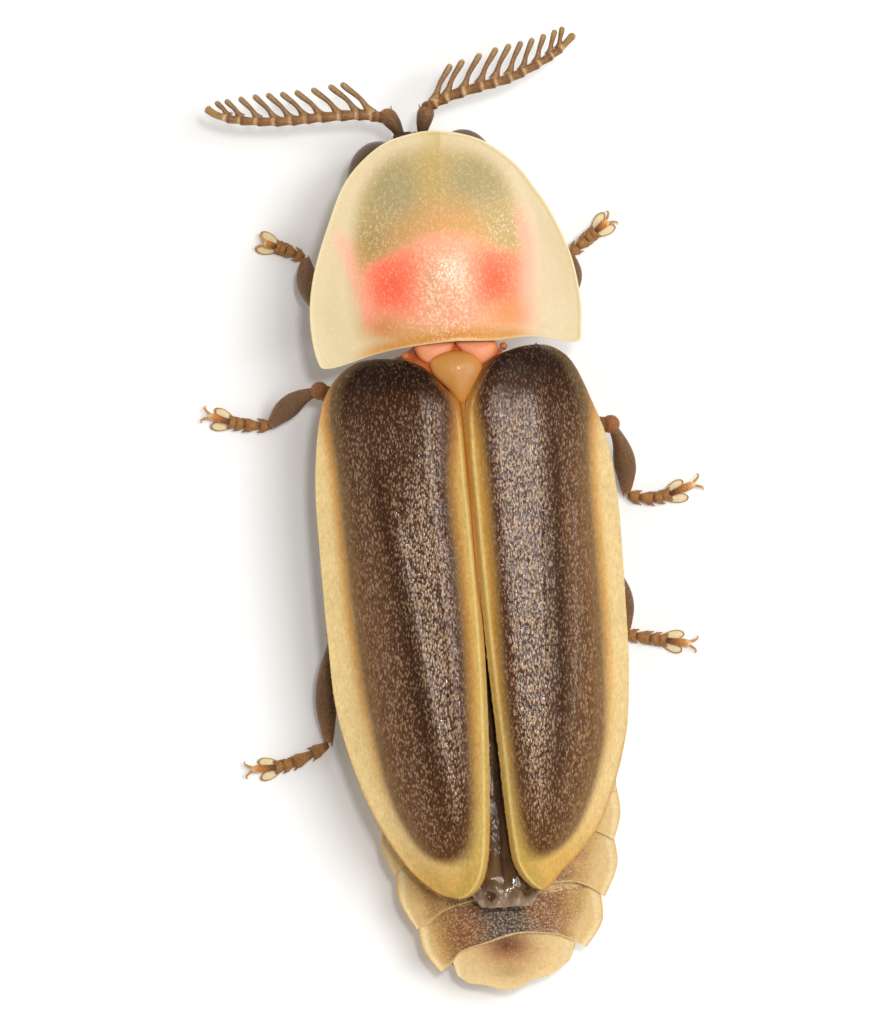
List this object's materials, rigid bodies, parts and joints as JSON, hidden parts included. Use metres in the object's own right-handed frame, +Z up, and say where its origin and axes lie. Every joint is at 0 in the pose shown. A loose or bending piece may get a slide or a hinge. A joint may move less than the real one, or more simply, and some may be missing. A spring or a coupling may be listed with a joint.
{
  "type": "male comb-antenna firefly model",
  "caption": "Life-size still model of a male firefly standing on six feet: broad pale shield over the head, comb antennae, soft dark wing cases with pale margins.",
  "frame": {"origin": "on the floor under the middle of the whole insect, legs and antennae included", "axes": "+Z up, +Y towards the head along the longest side, +X to the insect's right"},
  "size_m": [0.0088, 0.0168, 0.003],
  "materials": {
    "shield_cuticle": "thin cream cuticle, finely pitted, satin gloss, with orange and pink showing through its middle",
    "case_cuticle": "soft wrinkled dark brown cuticle with a broad pale ochre margin and fine lying hairs",
    "brown_cuticle": "smooth orange-brown cuticle with a low gloss",
    "dark_cuticle": "dark brown cuticle with fine lying hairs, orange-brown on the feet",
    "eye_cuticle": "near-black compound eye of very fine facets, glossy",
    "wing_membrane": "smoky thin membrane, folded, with a glassy sheen",
    "abdomen_cuticle": "ochre and brown plates with pale hind edges and fine hairs"
  },
  "bodies": {
    "root": {"pronotum": "shield_cuticle", "thorax": "brown_cuticle", "abdomen": "abdomen_cuticle", "hind_wings": "wing_membrane", "head": "dark_cuticle", "eye_left": "eye_cuticle", "eye_right": "eye_cuticle", "elytron_left": "case_cuticle", "elytron_right": "case_cuticle", "antenna_left": "brown_cuticle", "antenna_right": "brown_cuticle", "leg_front_left": "dark_cuticle", "leg_front_right": "dark_cuticle", "leg_mid_left": "dark_cuticle", "leg_mid_right": "dark_cuticle", "leg_hind_left": "dark_cuticle", "leg_hind_right": "dark_cuticle"}
  },
  "joints": []
}
